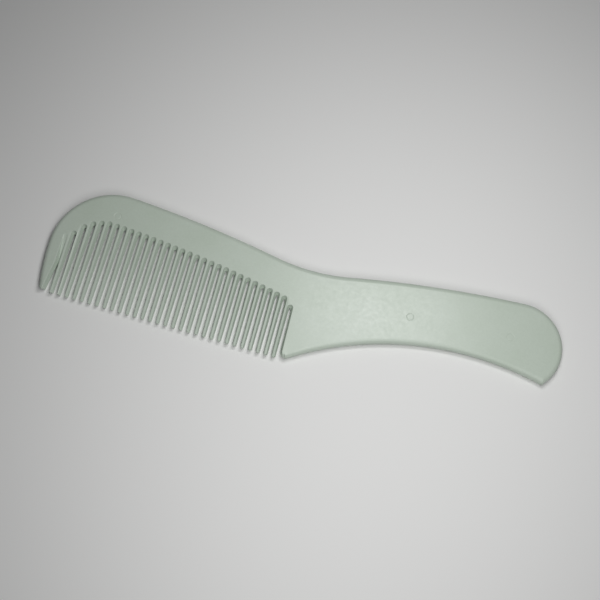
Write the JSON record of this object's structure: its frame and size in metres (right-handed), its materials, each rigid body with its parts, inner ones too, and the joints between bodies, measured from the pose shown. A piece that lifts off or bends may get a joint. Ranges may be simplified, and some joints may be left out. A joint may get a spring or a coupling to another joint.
{
  "type": "handled grooming comb",
  "caption": "Flat moulded plastic handle comb with a rounded nose guard, a row of tapered straight teeth, a pointed heel and a curved grip.",
  "frame": {"origin": "centre of the overall box, on the face that the comb lies on", "axes": "+X along the comb from the nose to the butt of the handle, +Y from the teeth to the back edge, +Z through the thickness, up"},
  "size_m": [0.1778, 0.0422, 0.004],
  "materials": {
    "moulding": "satin off-white with a slight grey-green cast"
  },
  "bodies": {
    "root": {"nose_guard": "moulding", "spine": "moulding", "heel": "moulding", "handle": "moulding", "tooth_01": "moulding", "tooth_02": "moulding", "tooth_03": "moulding", "tooth_04": "moulding", "tooth_05": "moulding", "tooth_06": "moulding", "tooth_07": "moulding", "tooth_08": "moulding", "tooth_09": "moulding", "tooth_10": "moulding", "tooth_11": "moulding", "tooth_12": "moulding", "tooth_13": "moulding", "tooth_14": "moulding", "tooth_15": "moulding", "tooth_16": "moulding", "tooth_17": "moulding", "tooth_18": "moulding", "tooth_19": "moulding", "tooth_20": "moulding", "tooth_21": "moulding", "tooth_22": "moulding", "tooth_23": "moulding", "tooth_24": "moulding", "tooth_25": "moulding", "tooth_26": "moulding", "tooth_27": "moulding", "tooth_28": "moulding", "tooth_29": "moulding", "tooth_30": "moulding"}
  },
  "joints": []
}
